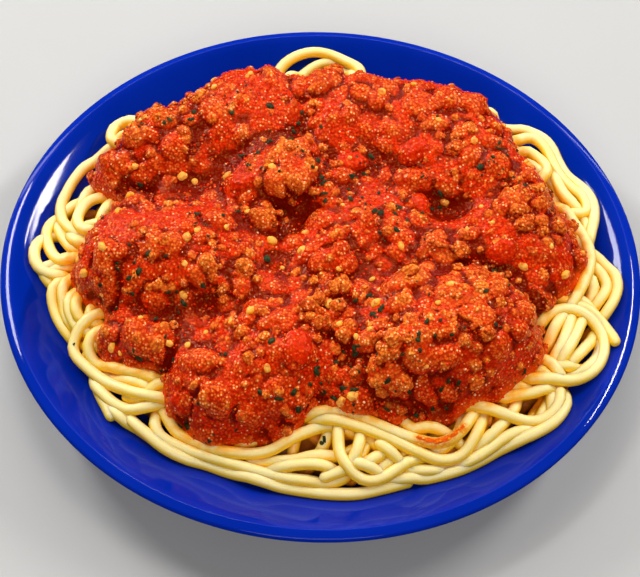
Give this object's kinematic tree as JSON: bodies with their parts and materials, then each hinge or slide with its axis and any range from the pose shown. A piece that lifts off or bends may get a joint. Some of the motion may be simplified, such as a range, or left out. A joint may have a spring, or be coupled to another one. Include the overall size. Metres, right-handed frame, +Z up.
{
  "type": "spaghetti bolognese on a plate",
  "caption": "Round glazed plate with a heap of cooked spaghetti in its well and a mound of meat and tomato sauce spooned over the top.",
  "frame": {"origin": "on the table, under the centre of the plate's foot ring", "axes": "+Z up, away from the table; +Y towards the back of the serving, away from the diner; +X to the diner's right"},
  "size_m": [0.19, 0.19, 0.0443],
  "materials": {
    "plate": "gloss",
    "spaghetti": "satin",
    "meat_sauce": "satin"
  },
  "bodies": {
    "root": {"plate": "plate", "spaghetti": "spaghetti", "meat_sauce": "meat_sauce"}
  },
  "joints": []
}
